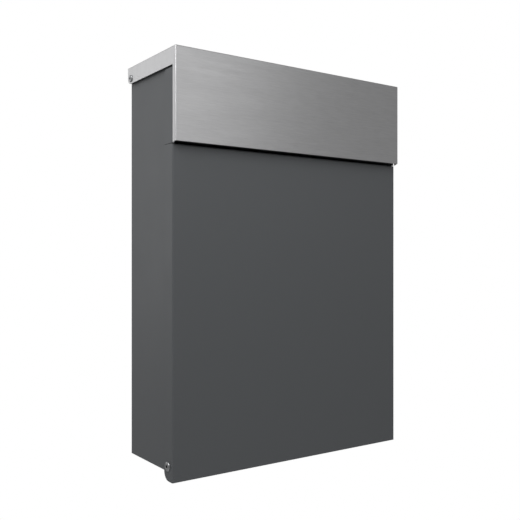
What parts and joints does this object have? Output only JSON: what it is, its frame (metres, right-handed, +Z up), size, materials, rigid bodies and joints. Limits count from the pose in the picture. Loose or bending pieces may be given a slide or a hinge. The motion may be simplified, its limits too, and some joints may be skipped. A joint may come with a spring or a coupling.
{
  "type": "wall mounted mailbox",
  "caption": "Upright sheet-metal wall mailbox with a lift-up stainless lid over a top mail slot, a fixed lock header and a bottom-hinged front door.",
  "frame": {"origin": "centre of the four wall fixing holes, on the wall plane that the spacers' rear faces touch", "axes": "+X to the right seen from the front, +Y into the wall, so the front faces -Y, +Z up"},
  "size_m": [0.3076, 0.1178, 0.43],
  "materials": {
    "anthracite_coat": "fine-texture matt powder coat on steel sheet",
    "lid_stainless": "brushed along the width",
    "screw_stainless": "plain stainless, slightly bright",
    "zinc_plate": "bright zinc plate",
    "lock_chrome": "polished nickel-chrome",
    "wafer_brass": "stamped brass",
    "nylon_black": "moulded nylon",
    "rubber_black": "matt rubber"
  },
  "bodies": {
    "casing": {"body_wrap": "anthracite_coat", "floor_pan": "anthracite_coat", "front_header": "anthracite_coat", "header_shims": "zinc_plate", "header_nuts": "zinc_plate", "wall_spacers": "nylon_black", "lid_bumpers": "rubber_black", "door_buffers": "rubber_black", "door_screw_left": "screw_stainless", "door_screw_right": "screw_stainless", "door_sleeve_left": "zinc_plate", "door_sleeve_right": "zinc_plate", "door_nut_left": "zinc_plate", "door_nut_right": "zinc_plate", "lid_screw_left": "screw_stainless", "lid_screw_right": "screw_stainless", "lid_sleeve_left": "zinc_plate", "lid_sleeve_right": "zinc_plate", "lid_nut_left": "zinc_plate", "lid_nut_right": "zinc_plate", "lock_housing": "lock_chrome", "lock_washer": "zinc_plate", "lock_nut": "zinc_plate"},
    "lid": {"lid_cover": "lid_stainless", "lid_bush_left": "nylon_black", "lid_bush_right": "nylon_black"},
    "door": {"door_panel": "anthracite_coat", "door_bush_left": "nylon_black", "door_bush_right": "nylon_black"},
    "lock": {"lock_plug": "lock_chrome", "lock_wafers": "wafer_brass", "lock_cam": "zinc_plate", "cam_washer": "zinc_plate", "cam_screw": "zinc_plate"}
  },
  "joints": [
    {"name": "lid_hinge", "type": "hinge", "parent": "casing", "child": "lid", "pos_m": [0, -0.01639, 0.21711], "axis": [-1, 0, 0], "range_deg": [0, 90]},
    {"name": "door_hinge", "type": "hinge", "parent": "casing", "child": "door", "pos_m": [0, -0.10187, -0.18538], "axis": [1, 0, 0], "range_deg": [0, 90]},
    {"name": "lock_turn", "type": "hinge", "parent": "casing", "child": "lock", "pos_m": [0, -0.1, 0.1644], "axis": [0, 1, 0], "range_deg": [0, 90]}
  ]
}
